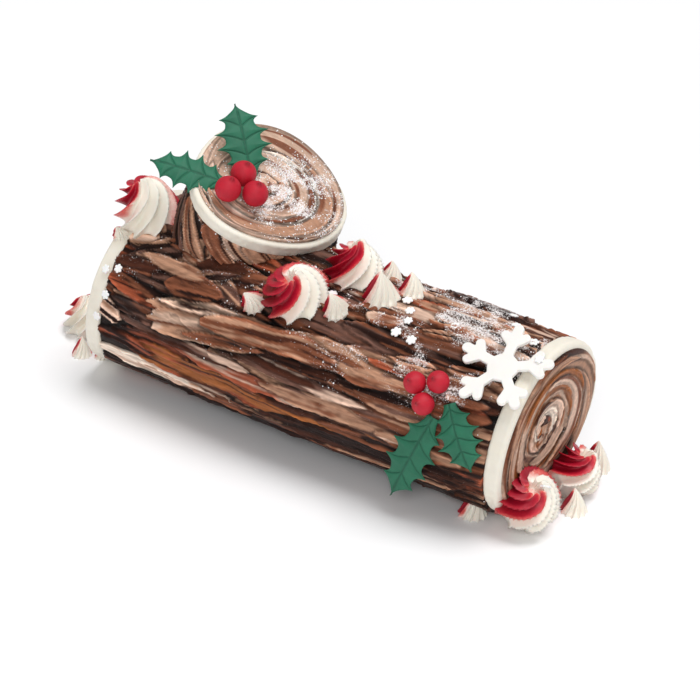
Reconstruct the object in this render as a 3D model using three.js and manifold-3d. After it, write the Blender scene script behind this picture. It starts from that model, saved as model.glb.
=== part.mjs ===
// Yule log cake: a frosted roll cake with a slanted side stump, piped swirls, holly and a snowflake.
// Millimetres. +X runs along the log towards the snowflake, +Z is up, -Y is the front.
// The origin is on the flat underside, below the middle of the log.
import * as THREE from 'three';
import { mergeVertices } from 'three/addons/utils/BufferGeometryUtils.js';
import Module from 'manifold-3d';

const wasm = await Module();
wasm.setup();

const GAP = 0.3; // clearance between pieces that touch
const TURN = Math.PI * 2;
const degrees = THREE.MathUtils.degToRad;

// ---------- driving dimensions ----------
// The log's section is an oval with a flattened underside; angle 0 faces +Y, 90 degrees is the top.
const HALF_LENGTH = 148;
const HALF_WIDTH = { mid: 62, taper: -4, crown: -1.5 };
const HEIGHT = { mid: 111, taper: -5, crown: -0.5 };
const BOW = 4; // how far both ends lie behind the middle
const FLAT = 4; // how far the oval is cut off by the flat underside
const BARK = { left: -136.7, right: 137.2, ridge: 1.5, around: 36, along: 11 };
const FOOT = { left: 24, right: 9 }; // how far each slanted end leans to the left at its foot
const CREAM_BAND = {
  left: 11, right: 10.5, inset: 1, // width along the log at each end, and how far in it lies
  inner: 0.4, round: 3.5, shoulder: { back: 1, drop: 1.4 }, // how its two edges are rounded
};
const END_FACE = {
  thickness: 2.6, inset: 4.5, relief: 0.9, turns: 2, around: 28, rings: 4,
  eye: 0.12, shoulder: 0.93, // where the spiral starts and ends, as shares of the radius
};

// The stump is a slice set slantwise on the left of the log; its face looks up and to the right.
const STUMP = {
  centre: new THREE.Vector3(-66, 16.3, 142.3),
  azimuth: degrees(75.9),
  elevation: degrees(61.4),
  radius: 48.9,
  lobe: 1.9,
  faceThickness: 3,
  creamThickness: 9.2,
  creamEdge: { lower: 3, lowerIn: 1.6, upper: 2.5, upperOut: 0.2, upperIn: 1 },
  foot: { centre: new THREE.Vector3(-80, 8, 86), halfLength: 56, halfWidth: 45 },
  waist: 5, // how far the bark is drawn in between the cream and the log
  ridges: 9,
  ridgeLean: 2, // how far the ridges shift on their way down, in radians of one ridge
  around: 30,
  along: 5,
};

// ---------- solids and meshes ----------
function toSolid(geometry) {
  const bare = geometry.clone();
  bare.deleteAttribute('normal');
  bare.deleteAttribute('uv');
  const merged = mergeVertices(bare, 1e-4);
  return new wasm.Manifold(new wasm.Mesh({
    numProp: 3,
    vertProperties: new Float32Array(merged.attributes.position.array),
    triVerts: new Uint32Array(merged.index.array),
  }));
}

function toGeometry(solid) {
  const { vertProperties, triVerts } = solid.getMesh();
  const geometry = new THREE.BufferGeometry();
  geometry.setAttribute('position', new THREE.BufferAttribute(new Float32Array(vertProperties), 3));
  geometry.setIndex(Array.from(triVerts));
  geometry.computeVertexNormals();
  return geometry;
}

function middleOf(ring) {
  return ring.reduce((sum, p) => sum.add(p), new THREE.Vector3()).divideScalar(ring.length);
}

// Skins a row of rings that all have the same number of points, and closes both ends with a fan.
function loft(rings) {
  const around = rings[0].length;
  const points = rings.flat();
  const faces = [];
  for (let k = 0; k + 1 < rings.length; k++) {
    for (let i = 0; i < around; i++) {
      const a = k * around + i;
      const b = k * around + ((i + 1) % around);
      faces.push(a, b, b + around, a, b + around, a + around);
    }
  }
  for (const [ring, flip] of [[0, true], [rings.length - 1, false]]) {
    const centre = points.length;
    points.push(middleOf(rings[ring]));
    for (let i = 0; i < around; i++) {
      const a = ring * around + i;
      const b = ring * around + ((i + 1) % around);
      faces.push(centre, flip ? b : a, flip ? a : b);
    }
  }
  const geometry = new THREE.BufferGeometry().setFromPoints(points);
  geometry.setIndex(faces);
  return geometry;
}

function ringOf(count, point) {
  return Array.from({ length: count }, (_, i) => point((i / count) * TURN));
}

function steps(count, from = 0, to = 1) {
  return Array.from({ length: count + 1 }, (_, i) => from + ((to - from) * i) / count);
}

// ---------- the log ----------
function sizeAt(x) {
  const u = x / HALF_LENGTH;
  const halfWidth = HALF_WIDTH.mid + HALF_WIDTH.taper * u + HALF_WIDTH.crown * u * u;
  const height = HEIGHT.mid + HEIGHT.taper * u + HEIGHT.crown * u * u;
  return { u, halfWidth, height, halfHeight: (height + FLAT) / 2 };
}

function logPoint(x, angle, inset = 0) {
  const { u, halfWidth, height, halfHeight } = sizeAt(x);
  const y = BOW * u * u + (halfWidth - inset) * Math.cos(angle);
  const z = Math.max(0, halfHeight - FLAT + (halfHeight - inset) * Math.sin(angle));
  const foot = (x < 0 ? FOOT.left : FOOT.right) * Math.abs(u) ** 3 * (1 - z / height) ** 2;
  return new THREE.Vector3(x - foot, y, z);
}

function logNormal(x, angle) {
  const { halfWidth, halfHeight } = sizeAt(x);
  return new THREE.Vector3(0, Math.cos(angle) / halfWidth, Math.sin(angle) / halfHeight).normalize();
}

// Uneven lengthwise ridges, fading out towards the underside.
function barkRidge(x, angle) {
  const fade = THREE.MathUtils.smoothstep(Math.sin(angle), -0.85, -0.4);
  const coarse = Math.sin(8 * angle + 0.014 * x);
  const fine = Math.sin(13 * angle - 0.021 * x + 1);
  return BARK.ridge * fade * (0.55 * coarse + 0.45 * fine);
}

function logSolid(gap) {
  const rings = steps(BARK.along, BARK.left - gap, BARK.right + gap).map((x) =>
    ringOf(BARK.around, (angle) => logPoint(x, angle, -barkRidge(x, angle) - gap)));
  return toSolid(loft(rings)).subtract(underFloor(gap));
}

// Everything below the flat underside, to cut the pieces off level.
const UNDER_FLOOR = { length: 600, width: 400, depth: 50 };

function underFloor(gap) {
  const { length, width, depth } = UNDER_FLOOR;
  const slab = new THREE.BoxGeometry(length, width, depth);
  slab.translate(0, 0, -depth / 2 - gap);
  return toSolid(slab);
}

// A band of cream that runs right through the log's end, with a rounded outer edge.
function creamEnd(side, gap) {
  const inner = side < 0 ? BARK.left : BARK.right;
  const width = side < 0 ? CREAM_BAND.left : CREAM_BAND.right;
  const { inset, round, shoulder } = CREAM_BAND;
  const stations = [[GAP - gap, CREAM_BAND.inner], [width - round, 0],
    [width - shoulder.back, shoulder.drop], [width + gap, round]];
  const rings = stations.map(([along, extra]) =>
    ringOf(END_FACE.around, (angle) => logPoint(inner + side * along, angle, inset + extra - gap)));
  return toSolid(loft(side < 0 ? rings.reverse() : rings)).subtract(underFloor(gap));
}

// One spiral ridge, wound twice round from the middle of a disc out to its rim.
function spiral(fraction, angle) {
  return Math.cos(TURN * fraction * END_FACE.turns - angle);
}

function swirlFace(side, gap) {
  const back = (side < 0 ? BARK.left - CREAM_BAND.left : BARK.right + CREAM_BAND.right) + side * GAP;
  const rim = (angle) => logPoint(back, angle, END_FACE.inset - gap);
  const middle = middleOf(ringOf(END_FACE.around, rim));
  const onFace = (fraction, depth, angle) =>
    middle.clone().lerp(rim(angle), fraction).add(new THREE.Vector3(side * depth, 0, 0));
  const front = steps(END_FACE.rings - 1, END_FACE.eye, END_FACE.shoulder).reverse().map((fraction) =>
    ringOf(END_FACE.around, (angle) =>
      onFace(fraction, END_FACE.thickness + END_FACE.relief * spiral(fraction, angle) + gap, angle)));
  const rings = [ringOf(END_FACE.around, (angle) => onFace(1, -gap, angle)),
    ringOf(END_FACE.around, (angle) => onFace(1, END_FACE.thickness / 2, angle)), ...front];
  return toSolid(loft(side < 0 ? rings.reverse() : rings));
}

// ---------- the stump ----------
const stumpAxis = new THREE.Vector3(
  Math.sin(STUMP.azimuth) * Math.cos(STUMP.elevation),
  -Math.cos(STUMP.azimuth) * Math.cos(STUMP.elevation),
  Math.sin(STUMP.elevation));
const stumpAcross = new THREE.Vector3(Math.cos(STUMP.azimuth), Math.sin(STUMP.azimuth), 0);
const stumpUphill = new THREE.Vector3().crossVectors(stumpAxis, stumpAcross);

function stumpPoint(depth, radius, angle) {
  const rounded = radius + STUMP.lobe * Math.cos(3 * (angle - TURN / 6)) * (radius / STUMP.radius);
  return STUMP.centre.clone()
    .addScaledVector(stumpAxis, -depth)
    .addScaledVector(stumpAcross, rounded * Math.cos(angle))
    .addScaledVector(stumpUphill, rounded * Math.sin(angle));
}

function stumpFace(gap) {
  const lift = (fraction, angle) => END_FACE.relief * (1 - spiral(fraction, angle)) - gap;
  const front = steps(END_FACE.rings, END_FACE.eye, END_FACE.shoulder).reverse().map((fraction) =>
    ringOf(STUMP.around, (angle) => stumpPoint(lift(fraction, angle), fraction * STUMP.radius, angle)));
  const rings = [
    ringOf(STUMP.around, (angle) => stumpPoint(STUMP.faceThickness + gap, STUMP.radius - 1 + gap, angle)),
    ringOf(STUMP.around, (angle) => stumpPoint(STUMP.faceThickness / 2, STUMP.radius + gap, angle)), ...front];
  return toSolid(loft(rings));
}

function stumpCream(gap) {
  const top = STUMP.faceThickness + GAP - gap;
  const bottom = top + STUMP.creamThickness + 2 * gap;
  const { lower, lowerIn, upper, upperOut, upperIn } = STUMP.creamEdge;
  const stations = [[bottom, -lowerIn], [bottom - lower, 0], [top + upper, upperOut], [top, -upperIn]];
  const rings = stations.map(([depth, grow]) =>
    ringOf(STUMP.around, (angle) => stumpPoint(depth, STUMP.radius + grow + gap, angle)));
  return toSolid(loft(rings));
}

// The bark under the cream spreads out into the log.
function stumpBark(gap) {
  const top = STUMP.faceThickness + STUMP.creamThickness + 3 * GAP - gap;
  const { centre, halfLength, halfWidth } = STUMP.foot;
  const rings = steps(STUMP.along, 1, 0).map((down) =>
    ringOf(STUMP.around, (angle) => {
      const rim = stumpPoint(top, STUMP.radius + 1 + gap, angle);
      const foot = centre.clone()
        .addScaledVector(stumpAcross, (halfWidth + gap) * Math.cos(angle))
        .add(new THREE.Vector3(-halfLength - gap, 0, 0).multiplyScalar(Math.sin(angle)));
      const ridge = BARK.ridge * Math.sin(STUMP.ridges * angle + STUMP.ridgeLean * down)
        * Math.sin(Math.PI * down);
      const point = rim.lerp(foot, down);
      const outward = point.clone().sub(centre).setZ(0).normalize();
      return point.addScaledVector(outward, ridge - STUMP.waist * down * down * (1 - down));
    }));
  return toSolid(loft(rings));
}

// ---------- piping ----------
const ROSETTE = { ribs: 8, perRib: 2, levels: 5, depth: 0.13, twist: 1.7 };
const KISS = { ribs: 7, perRib: 2, levels: 3, depth: 0.12, twist: 0.5 };

// A mound piped through a star nozzle: ribs that wind up to a peak. skirt extends it below its seat.
function piped(style, radius, height, skirt, outline) {
  const around = style.ribs * style.perRib;
  const rings = steps(style.levels, 0, 0.97).map((rise) =>
    ringOf(around, (angle) => {
      const rib = 1 + style.depth * (1 - rise) * Math.cos(style.ribs * (angle - style.twist * rise));
      const reach = radius * outline(rise) * rib;
      return new THREE.Vector3(reach * Math.cos(angle), reach * Math.sin(angle), height * rise);
    }));
  if (skirt > 0) {
    rings.unshift(rings[0].map((p) => new THREE.Vector3(p.x * 0.8, p.y * 0.8, -skirt)));
  }
  return loft(rings);
}

const roseOutline = (rise) => 0.88 * (1 - rise ** 2.6) ** 0.8 * (1 + 0.35 * rise * (1 - rise));
const kissOutline = (rise) => 0.9 * (1 - rise) ** 0.8 * (1 + 0.9 * rise * (1 - rise));

function place(geometry, seat, normal) {
  const turn = new THREE.Quaternion().setFromUnitVectors(new THREE.Vector3(0, 0, 1), normal);
  return geometry.applyMatrix4(new THREE.Matrix4().compose(seat, turn, new THREE.Vector3(1, 1, 1)));
}

function pipedSolid({ seat, normal, radius, height, style, skirt, floor }, gap) {
  const outline = style === ROSETTE ? roseOutline : kissOutline;
  const solid = toSolid(place(piped(style, radius + gap, height + gap, skirt, outline), seat, normal));
  return floor ? solid.subtract(underFloor(0)) : solid;
}

const onLog = (x, angle, sink = 1) => ({
  seat: logPoint(x, degrees(angle), sink), normal: logNormal(x, degrees(angle)), skirt: 6,
});
const onFloor = (x, y) => ({
  seat: new THREE.Vector3(x, y, 0), normal: new THREE.Vector3(0, 0, 1), skirt: 0, floor: true,
});
const leaning = (x, y, z, nx, ny, nz) => ({
  seat: new THREE.Vector3(x, y, z), normal: new THREE.Vector3(nx, ny, nz).normalize(), skirt: 12, floor: true,
});

const rosettes = {
  rosette_middle_left: { ...onLog(-10, 121.5), radius: 22.5, height: 22 },
  rosette_middle_right: { ...onLog(9.5, 92), radius: 20.5, height: 25 },
  rosette_left_top: { ...onLog(-136, 109), radius: 22, height: 33 },
  rosette_right_front: { ...leaning(149.5, -25, 20, 0.5, -0.35, 0.79), radius: 22, height: 20 },
  rosette_right_back: { ...leaning(152, 25.5, 13.5, 0.45, 0.12, 0.88), radius: 19, height: 19.5 },
  rosette_left_base: { ...leaning(-203, 3, 5, -0.3, -0.1, 0.95), radius: 23, height: 23 },
};

const kisses = {
  kiss_middle_1: { ...onLog(-33, 135), radius: 8.5, height: 14 },
  kiss_middle_2: { ...onLog(18, 120.5), radius: 9.5, height: 15 },
  kiss_middle_3: { ...onLog(37, 102.5), radius: 12.5, height: 20 },
  kiss_middle_4: { ...onLog(48, 88), radius: 9.5, height: 14 },
  kiss_middle_5: { ...onLog(26, 78), radius: 8, height: 11 },
  kiss_left_top: { ...onLog(-144, 127), radius: 6, height: 9 },
  kiss_right_front: { ...onFloor(118.5, -31), radius: 9.5, height: 16 },
  kiss_right_middle: { ...onFloor(164, 8), radius: 9, height: 16 },
  kiss_right_back: { ...onFloor(152, 56), radius: 10.5, height: 21 },
  kiss_left_front: { ...onFloor(-186, -29.5), radius: 7.5, height: 14 },
  kiss_left_inner: { ...onFloor(-173.5, -24), radius: 5.5, height: 11 },
};

// ---------- holly ----------
const BERRY = { around: 10, levels: 6, nub: 1.2 };

function berrySolid({ centre, normal, radius }, gap) {
  const r = radius + gap;
  const profile = steps(BERRY.levels, -Math.PI / 2, Math.PI / 2).map((tilt) =>
    new THREE.Vector2(Math.max(0, r * Math.cos(tilt)), r * Math.sin(tilt)));
  profile[0].x = 0;
  profile[BERRY.levels].set(0, r + BERRY.nub);
  return toSolid(place(new THREE.LatheGeometry(profile, BERRY.around), centre, normal));
}

const onStump = (across, uphill, lift) => STUMP.centre.clone()
  .addScaledVector(stumpAcross, across).addScaledVector(stumpUphill, uphill).addScaledVector(stumpAxis, lift);
const aboveLog = (x, angle, lift) =>
  logPoint(x, degrees(angle)).addScaledVector(logNormal(x, degrees(angle)), lift);

const TOP_BERRY = 7.9;
const FRONT_BERRY = 6.5;
const berryOnStump = (across, uphill) => ({
  centre: onStump(across, uphill, TOP_BERRY + 1.4), normal: stumpAxis, radius: TOP_BERRY,
});
const berryOnLog = (x, angle) => ({
  centre: aboveLog(x, angle, FRONT_BERRY + 1), normal: logNormal(x, degrees(angle)), radius: FRONT_BERRY,
});

const berries = {
  berry_top_1: berryOnStump(-20.5, 6.5),
  berry_top_2: berryOnStump(-37, -0.5),
  berry_top_3: berryOnStump(-22.5, -9.5),
  berry_front_1: berryOnLog(88, 145.4),
  berry_front_2: berryOnLog(101, 141.2),
  berry_front_3: berryOnLog(97, 154),
};

const LEAF = { thickness: 1.6, spines: 5, perSpine: 4, ridge: 1.4 };

// Half the width of a holly leaf: curved bays between sharp spines, widest in the middle, with a sharp tip.
function leafHalfWidth(fraction, width) {
  const body = Math.sin(Math.PI * Math.min(1, fraction * 0.93 + 0.05)) ** 0.75;
  const bay = Math.abs(((fraction * LEAF.spines) % 1) - 0.5) * 2;
  const point = 1 - 0.9 * THREE.MathUtils.smoothstep(fraction, 0.84, 1);
  return Math.max(0.5, (width / 2) * body * (0.6 + 0.4 * bay ** 3) * point);
}

// base, tip and facing set the leaf in space; arch bends it away from the straight line.
function leafSolid({ base, tip, facing, width, arch }, gap) {
  const along = tip.clone().sub(base);
  const length = along.length();
  along.normalize();
  const across = new THREE.Vector3().crossVectors(facing, along).normalize();
  const up = new THREE.Vector3().crossVectors(along, across);
  const half = LEAF.thickness / 2 + gap;
  const stations = LEAF.spines * LEAF.perSpine;
  const rings = steps(stations, 0, 1).map((fraction) => {
    const middle = base.clone().addScaledVector(along, fraction * length)
      .addScaledVector(up, arch * Math.sin(Math.PI * fraction));
    const reach = fraction === 1 ? 0.5 : leafHalfWidth(fraction, width) + gap;
    const corner = (side, level) => middle.clone().addScaledVector(across, side * reach)
      .addScaledVector(up, level * half - LEAF.ridge * Math.abs(side));
    const rib = (level) => middle.clone().addScaledVector(up, level * half);
    return [corner(1, -1), corner(1, 1), rib(1), corner(-1, 1), corner(-1, -1), rib(-1)];
  });
  return toSolid(loft(rings));
}

const at = (x, y, z) => new THREE.Vector3(x, y, z);
const leaves = {
  leaf_top_upright: {
    base: onStump(-12, 7, 3), tip: at(-99.5, 23.5, 183.5), facing: at(0.75, -0.55, 0.4), width: 37, arch: 2,
  },
  leaf_top_side: {
    base: onStump(-31, 7.5, 3.2), tip: at(-121, -32, 159.5), facing: at(0.25, -0.45, 0.86), width: 31, arch: 1,
  },
  leaf_front_left: {
    base: aboveLog(103, 160, 3.4), tip: at(80.5, -62, 14), facing: at(0.1, -1, 0.1), width: 31, arch: 2.5,
  },
  leaf_front_right: {
    base: aboveLog(109.5, 150, 3.4), tip: aboveLog(132, 184, 3.6), facing: at(0.1, -0.95, 0.3),
    width: 31, arch: 3,
  },
};

// ---------- snowflake ----------
const SNOWFLAKE = {
  arms: 5, reach: 29, bar: 3.1, hub: 9, prong: 11, prongAt: 15.5, thickness: 2.6,
  firstArm: degrees(98), fork: degrees(48), lift: 2.4, x: 129.5, angle: 121.5,
};

function roundBar(length, halfWidth) {
  const shape = new THREE.Shape();
  shape.moveTo(0, -halfWidth);
  shape.lineTo(length - halfWidth, -halfWidth);
  shape.absarc(length - halfWidth, 0, halfWidth, -Math.PI / 2, Math.PI / 2);
  shape.lineTo(0, halfWidth);
  shape.closePath();
  return toSolid(new THREE.ExtrudeGeometry(shape, {
    depth: SNOWFLAKE.thickness, bevelEnabled: false, curveSegments: 2,
  }));
}

function turned(solid, angle, reach = 0) {
  const spin = new THREE.Matrix4().makeRotationZ(angle);
  const shift = new THREE.Matrix4().makeTranslation(reach, 0, 0);
  return toSolid(toGeometry(solid).applyMatrix4(shift.multiply(spin)));
}

function snowflakeSolid() {
  const { arms, reach, bar, hub, prong, prongAt, thickness, firstArm, fork, lift, x, angle } = SNOWFLAKE;
  let arm = roundBar(reach, bar);
  for (const side of [-1, 1]) {
    arm = arm.add(turned(roundBar(prong, bar * 0.9), side * fork, prongAt));
  }
  const plate = new THREE.CylinderGeometry(hub, hub, thickness, 10);
  plate.rotateX(Math.PI / 2);
  plate.translate(0, 0, thickness / 2);
  let flake = toSolid(plate);
  for (let k = 0; k < arms; k++) {
    flake = flake.add(turned(arm, firstArm + (k * TURN) / arms));
  }
  return toSolid(place(toGeometry(flake), aboveLog(x, angle, lift), logNormal(x, degrees(angle))));
}

// ---------- assembly ----------
const finish = {
  bark: { color: 0x5a3b2e, roughness: 0.62, metalness: 0 },
  cream: { color: 0xf1ede2, roughness: 0.45, metalness: 0 },
  swirl: { color: 0xb08a6a, roughness: 0.55, metalness: 0 },
  piping: { color: 0xd8636a, roughness: 0.4, metalness: 0 },
  berry: { color: 0xc41a2c, roughness: 0.4, metalness: 0 },
  leaf: { color: 0x2a7a58, roughness: 0.6, metalness: 0 },
  fondant: { color: 0xf6f4ee, roughness: 0.7, metalness: 0 },
};

const pieces = [
  { name: 'log', look: finish.bark, build: logSolid },
  { name: 'cream_band_left', look: finish.cream, build: (gap) => creamEnd(-1, gap) },
  { name: 'cream_band_right', look: finish.cream, build: (gap) => creamEnd(1, gap) },
  { name: 'swirl_face_left', look: finish.swirl, build: (gap) => swirlFace(-1, gap) },
  { name: 'swirl_face_right', look: finish.swirl, build: (gap) => swirlFace(1, gap) },
  { name: 'stump_face', look: finish.swirl, build: stumpFace },
  { name: 'stump_cream', look: finish.cream, build: stumpCream },
  { name: 'stump_bark', look: finish.bark, build: stumpBark },
  ...Object.entries(rosettes).map(([name, spec]) => (
    { name, look: finish.piping, build: (gap) => pipedSolid({ ...spec, style: ROSETTE }, gap) })),
  ...Object.entries(kisses).map(([name, spec]) => (
    { name, look: finish.piping, build: (gap) => pipedSolid({ ...spec, style: KISS }, gap) })),
  ...Object.entries(berries).map(([name, spec]) => (
    { name, look: finish.berry, build: (gap) => berrySolid(spec, gap) })),
  ...Object.entries(leaves).map(([name, spec]) => (
    { name, look: finish.leaf, build: (gap) => leafSolid(spec, gap) })),
  { name: 'snowflake', look: finish.fondant, build: snowflakeSolid },
];

// Each piece is trimmed by the pieces before it, made larger by the gap, wherever they would meet.
const cake = new THREE.Group();
const placed = [];
for (const { name, look, build } of pieces) {
  let solid = build(0);
  for (const grown of placed) {
    solid = solid.subtract(grown);
  }
  placed.push(build(GAP));
  const mesh = new THREE.Mesh(toGeometry(solid), new THREE.MeshStandardMaterial(look));
  mesh.name = name;
  cake.add(mesh);
}

export default cake;
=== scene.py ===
# %% [markdown]
# # A yule log cake
# The cake is a rolled log with a slice set slantwise on it as a stump. Chocolate and vanilla
# buttercream, half mixed and dragged on with a palette knife, make the bark. Two-coloured stars
# are piped on it, and it carries holly and a snowflake cut from fondant.
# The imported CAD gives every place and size. This lesson puts a finely modelled skin on each body.

# %% Frame, box and units
import math

import bmesh
import bpy
import numpy as np
from mathutils import Matrix, Vector


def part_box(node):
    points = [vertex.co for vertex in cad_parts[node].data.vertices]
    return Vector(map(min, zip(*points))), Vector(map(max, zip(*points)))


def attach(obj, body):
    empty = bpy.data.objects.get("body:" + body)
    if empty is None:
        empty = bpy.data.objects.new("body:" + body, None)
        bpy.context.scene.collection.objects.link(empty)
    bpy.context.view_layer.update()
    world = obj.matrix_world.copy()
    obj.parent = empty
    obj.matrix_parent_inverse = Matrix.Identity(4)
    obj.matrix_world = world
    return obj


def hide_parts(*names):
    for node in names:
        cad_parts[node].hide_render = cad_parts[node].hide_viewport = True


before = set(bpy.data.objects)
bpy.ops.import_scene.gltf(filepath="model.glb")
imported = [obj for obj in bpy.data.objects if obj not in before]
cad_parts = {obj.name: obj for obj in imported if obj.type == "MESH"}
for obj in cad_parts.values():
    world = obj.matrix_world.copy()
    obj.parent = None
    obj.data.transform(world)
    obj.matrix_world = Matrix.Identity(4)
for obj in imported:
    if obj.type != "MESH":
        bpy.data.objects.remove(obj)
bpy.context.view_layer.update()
MM = 0.001
TURN = 2 * math.pi

# %% [markdown]
# ## Helpers
# Colours are written as they would be picked from a screen, and Blender wants them linear, so one
# function turns one into the other. A few small ones add the nodes that the materials share.
# Shapes are rows of points in millimetres that one function skins into a closed mesh.

# %% Colour and node helpers
def linear(hex_colour):
    """A hex sRGB colour as linear red, green and blue."""
    parts = [int(hex_colour[i:i + 2], 16) / 255 for i in (1, 3, 5)]
    return np.array([c / 12.92 if c <= 0.04045 else ((c + 0.055) / 1.055) ** 2.4 for c in parts])


def rgba(hex_colour):
    return (*linear(hex_colour), 1.0)


def feed(tree, node, inputs):
    """Gives each socket, by name or number, its value or a link to the socket that feeds it."""
    for key, value in inputs.items():
        if isinstance(value, bpy.types.NodeSocket):
            tree.links.new(value, node.inputs[key])
        else:
            node.inputs[key].default_value = value


def add(tree, kind, inputs=None, **settings):
    """Adds a node with its settings and feeds its inputs."""
    node = tree.nodes.new(kind)
    for name, value in settings.items():
        setattr(node, name, value)
    feed(tree, node, inputs or {})
    return node


def object_place(tree):
    return add(tree, "ShaderNodeTexCoord").outputs["Object"]


def speckle(tree, vector, size, detail, roughness=0.5):
    """Noise with a grain of size millimetres."""
    return add(tree, "ShaderNodeTexNoise", {"Vector": vector, "Scale": 1 / (size * MM), "Detail": detail,
                                            "Roughness": roughness}).outputs["Fac"]


def blend(tree, factor, first, second):
    """A mix of two colours."""
    return add(tree, "ShaderNodeMix", {"Factor": factor, 6: first, 7: second}, data_type="RGBA").outputs[2]


def bumped(tree, height, strength, distance):
    """A normal tilted by a height; distance is in millimetres."""
    return add(tree, "ShaderNodeBump", {"Height": height, "Strength": strength,
                                        "Distance": distance * MM}).outputs["Normal"]


def new_material(name):
    """An empty node material with its shader joined to the output."""
    material = bpy.data.materials.new(name)
    material.use_nodes = True
    tree = material.node_tree
    tree.nodes.clear()
    shader = add(tree, "ShaderNodeBsdfPrincipled")
    add(tree, "ShaderNodeOutputMaterial", {"Surface": shader.outputs["BSDF"]})
    return material, tree, shader


# %% Noise on arrays of points
def lattice(ix, iy, seed):
    """A fixed random number from 0 to 1 for each whole-number place."""
    n = (ix * 374761393 + iy * 668265263 + seed * 1442695041) & 0xFFFFFFFF
    n = ((n ^ (n >> 13)) * 1274126177) & 0xFFFFFFFF
    return ((n ^ (n >> 16)) & 0xFFFF) / 65535.0


def noise(x, y, seed=0):
    """Smooth noise from 0 to 1 with a grain of one unit."""
    x, y = np.broadcast_arrays(np.asarray(x, float), np.asarray(y, float))
    ix, iy = np.floor(x).astype(np.int64), np.floor(y).astype(np.int64)
    fx, fy = x - ix, y - iy
    fx, fy = fx * fx * (3 - 2 * fx), fy * fy * (3 - 2 * fy)
    low = lattice(ix, iy, seed) * (1 - fx) + lattice(ix + 1, iy, seed) * fx
    high = lattice(ix, iy + 1, seed) * (1 - fx) + lattice(ix + 1, iy + 1, seed) * fx
    return low * (1 - fy) + high * fy


def smooth(value, low=0.0, high=1.0):
    t = np.clip((value - low) / (high - low), 0, 1)
    return t * t * (3 - 2 * t)


def round_grid(values, count):
    """A grid of those values against count angles round a full turn."""
    return np.meshgrid(values, np.linspace(0, TURN, count, endpoint=False), indexing="ij")


# %% Rows of points into a mesh
def put(name, data):
    """An object that holds that data, linked into the scene."""
    made = bpy.data.objects.new(name, data)
    bpy.context.scene.collection.objects.link(made)
    return made


def as_mesh(piece):
    """The mesh a piece has after its modifiers. The piece itself is removed."""
    made = bpy.data.meshes.new_from_object(piece.evaluated_get(bpy.context.evaluated_depsgraph_get()))
    bpy.data.objects.remove(piece)
    return made


def add_mesh(name, points, faces, material):
    """A mesh object from points in millimetres, smooth, with every face pointing out."""
    mesh = bpy.data.meshes.new(name)
    mesh.from_pydata((np.asarray(points) * MM).tolist(), [], faces)
    work = bmesh.new()
    work.from_mesh(mesh)
    bmesh.ops.recalc_face_normals(work, faces=work.faces)
    work.to_mesh(mesh)
    work.free()
    mesh.shade_smooth()
    mesh.materials.append(material)
    return put(name, mesh)


def skin(name, rows, material):
    """Skins rows of points that each close on themselves, with a fan over the first and the last."""
    count, around = rows.shape[:2]
    index = np.arange(count * around).reshape(count, around)
    turned = np.roll(index, -1, axis=1)
    quads = np.stack([index[:-1], turned[:-1], turned[1:], index[1:]], -1).reshape(-1, 4)
    fans = []
    for ends, centre in (((index[0], turned[0]), count * around), ((turned[-1], index[-1]), count * around + 1)):
        fans += np.stack([ends[1], ends[0], np.full(around, centre)], -1).tolist()
    points = np.vstack([rows.reshape(-1, 3), rows[0].mean(0), rows[-1].mean(0)])
    return add_mesh(name, points, quads.tolist() + fans, material)


def paint(piece, name, values):
    """Stores a colour or a number at every point of a skinned piece, its two end points included."""
    flat = values.reshape(values.shape[0] * values.shape[1], -1)
    flat = np.vstack([flat, values[0].reshape(values.shape[1], -1).mean(0),
                      values[-1].reshape(values.shape[1], -1).mean(0)])
    if flat.shape[1] == 3:
        layer = piece.data.color_attributes.new(name, "FLOAT_COLOR", "POINT")
        layer.data.foreach_set("color", np.hstack([flat, np.ones((len(flat), 1))]).astype(np.float32).ravel())
    else:
        layer = piece.data.attributes.new(name, "FLOAT", "POINT")
        layer.data.foreach_set("value", flat.astype(np.float32).ravel())


def stands_for(piece, slot, *nodes):
    """Fixes a piece to the cake in place of its CAD nodes, and prints how its box differs from theirs."""
    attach(piece, "root")
    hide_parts(*nodes)
    points = np.array([v.co for v in piece.data.vertices]) / MM
    low = np.min([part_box(node)[0] for node in nodes], axis=0) / MM
    high = np.max([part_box(node)[1] for node in nodes], axis=0) / MM
    print(f"{piece.name}: {len(piece.data.polygons)} faces, box off by",
          np.round(points.min(0) - low, 1), np.round(points.max(0) - high, 1))


# %% [markdown]
# ## The shape of the log
# The log's section is an oval cut off flat below. Both ends lean a little, so that the foot lies
# further left than the top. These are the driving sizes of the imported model, in millimetres.
# A point of the log is named by how far along it is and by its angle: 90 degrees is the top and
# 180 degrees the front.

# %% Sizes and points of the log
HALF_LENGTH, FLAT, BOW = 148.0, 4.0, 4.0
BARK_LEFT, BARK_RIGHT = -136.7, 137.2
BAND = {-1: 11.0, 1: 10.5}


def size_at(x):
    u = np.asarray(x) / HALF_LENGTH
    half_width = 62 - 4 * u - 1.5 * u * u
    height = 111 - 5 * u - 0.5 * u * u
    return u, half_width, height, (height + FLAT) / 2


def log_point(x, angle, lift=0.0):
    """A point lift millimetres above the log's plain oval, as an array whose last axis is x, y, z."""
    u, half_width, height, half_height = size_at(x)
    y = BOW * u * u + (half_width + lift) * np.cos(angle)
    z = np.maximum(0, half_height - FLAT + (half_height + lift) * np.sin(angle))
    lean = np.where(u < 0, 24, 9) * np.abs(u) ** 3 * (1 - z / height) ** 2
    return np.stack(np.broadcast_arrays(x - lean, y, z), -1)


def log_normal(x, angle):
    _, half_width, _, half_height = size_at(x)
    n = np.stack(np.broadcast_arrays(0.0, np.cos(angle) / half_width, np.sin(angle) / half_height), -1)
    return n / np.linalg.norm(n, axis=-1, keepdims=True)


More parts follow.
